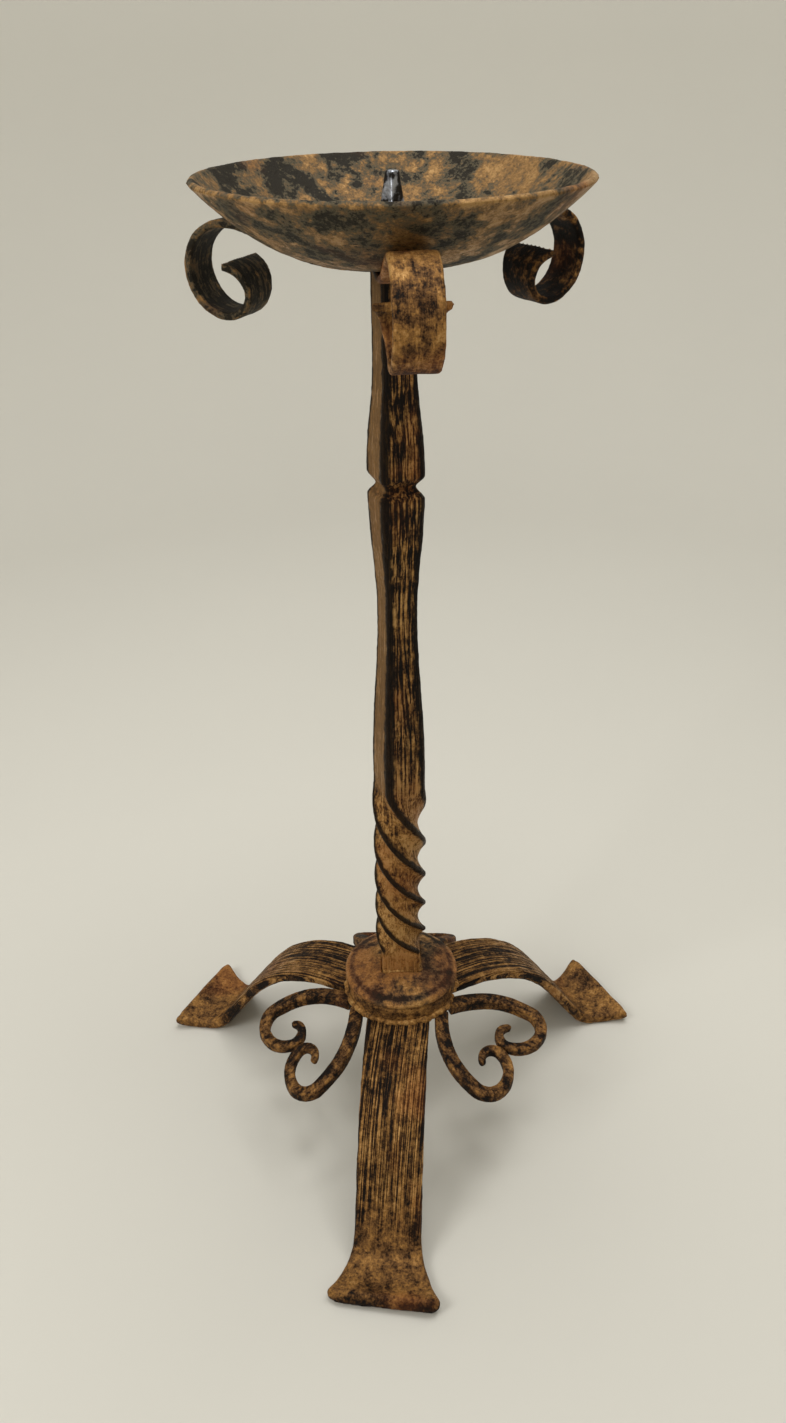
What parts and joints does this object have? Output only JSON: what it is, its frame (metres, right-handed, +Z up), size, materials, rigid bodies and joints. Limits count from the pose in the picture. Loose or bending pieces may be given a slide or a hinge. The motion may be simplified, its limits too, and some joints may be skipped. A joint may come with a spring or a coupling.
{
  "type": "candlestick",
  "caption": "Tall wrought-iron pricket candlestick: twisted square post on arched legs with heart scrolls, drip pan on curled bracket scrolls, spike for a candle.",
  "frame": {"origin": "on the floor under the middle of the post", "axes": "+Z up along the post, -Y towards the front leg and the front bracket scroll, +X to the right as seen from the front"},
  "size_m": [0.1732, 0.1487, 0.3014],
  "materials": {
    "gilded_black_iron": "black with sponged old gold and rust, satin",
    "rubbed_gilt_iron": "old gold rubbed over black, hammered, satin",
    "brown_iron": "dark brown with gold edges, satin",
    "bare_iron": "bare forged iron, bright where it was cut"
  },
  "bodies": {
    "root": {"drip_pan": "gilded_black_iron", "pricket": "bare_iron", "post": "rubbed_gilt_iron", "bracket_front": "rubbed_gilt_iron", "bracket_right": "gilded_black_iron", "bracket_left": "gilded_black_iron", "hub_dome": "rubbed_gilt_iron", "hub_plate": "rubbed_gilt_iron", "leg_front": "brown_iron", "leg_right": "brown_iron", "leg_left": "brown_iron", "heart_left_rear": "brown_iron", "heart_left_front": "brown_iron", "heart_right_front": "brown_iron", "heart_right_rear": "brown_iron", "heart_back_right": "brown_iron", "heart_back_left": "brown_iron"}
  },
  "joints": []
}
